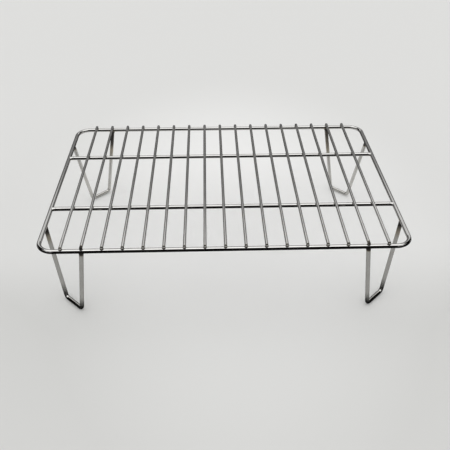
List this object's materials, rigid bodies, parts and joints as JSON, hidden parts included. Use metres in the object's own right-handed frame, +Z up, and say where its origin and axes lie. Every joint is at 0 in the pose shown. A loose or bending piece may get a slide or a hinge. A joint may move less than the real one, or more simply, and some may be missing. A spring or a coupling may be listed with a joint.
{
  "type": "grill warming rack",
  "caption": "Raised warming rack of welded stainless wire: a rounded wire frame with cross rails and evenly spaced bars on top, standing on diagonal U-shaped corner legs.",
  "frame": {"origin": "on the floor under the middle of the rack, at the height of the feet's lowest line", "axes": "+X along the rack's long side, to the right as seen in the picture; +Y to its rear, along the bars; +Z up"},
  "size_m": [0.409, 0.292, 0.102],
  "materials": {
    "frame_steel": "bright stainless wire, electropolished after welding",
    "rail_steel": "bright stainless wire, electropolished after welding",
    "bar_steel": "bright stainless wire, electropolished after welding",
    "leg_steel": "bright stainless wire, electropolished after welding"
  },
  "bodies": {
    "root": {"frame_wire": "frame_steel", "front_cross_rail": "rail_steel", "rear_cross_rail": "rail_steel", "bar_01": "bar_steel", "bar_02": "bar_steel", "bar_03": "bar_steel", "bar_04": "bar_steel", "bar_05": "bar_steel", "bar_06": "bar_steel", "bar_07": "bar_steel", "bar_08": "bar_steel", "bar_09": "bar_steel", "bar_10": "bar_steel", "bar_11": "bar_steel", "bar_12": "bar_steel", "bar_13": "bar_steel", "bar_14": "bar_steel", "bar_15": "bar_steel", "bar_16": "bar_steel", "bar_17": "bar_steel", "front_left_leg": "leg_steel", "front_right_leg": "leg_steel", "rear_left_leg": "leg_steel", "rear_right_leg": "leg_steel"}
  },
  "joints": []
}
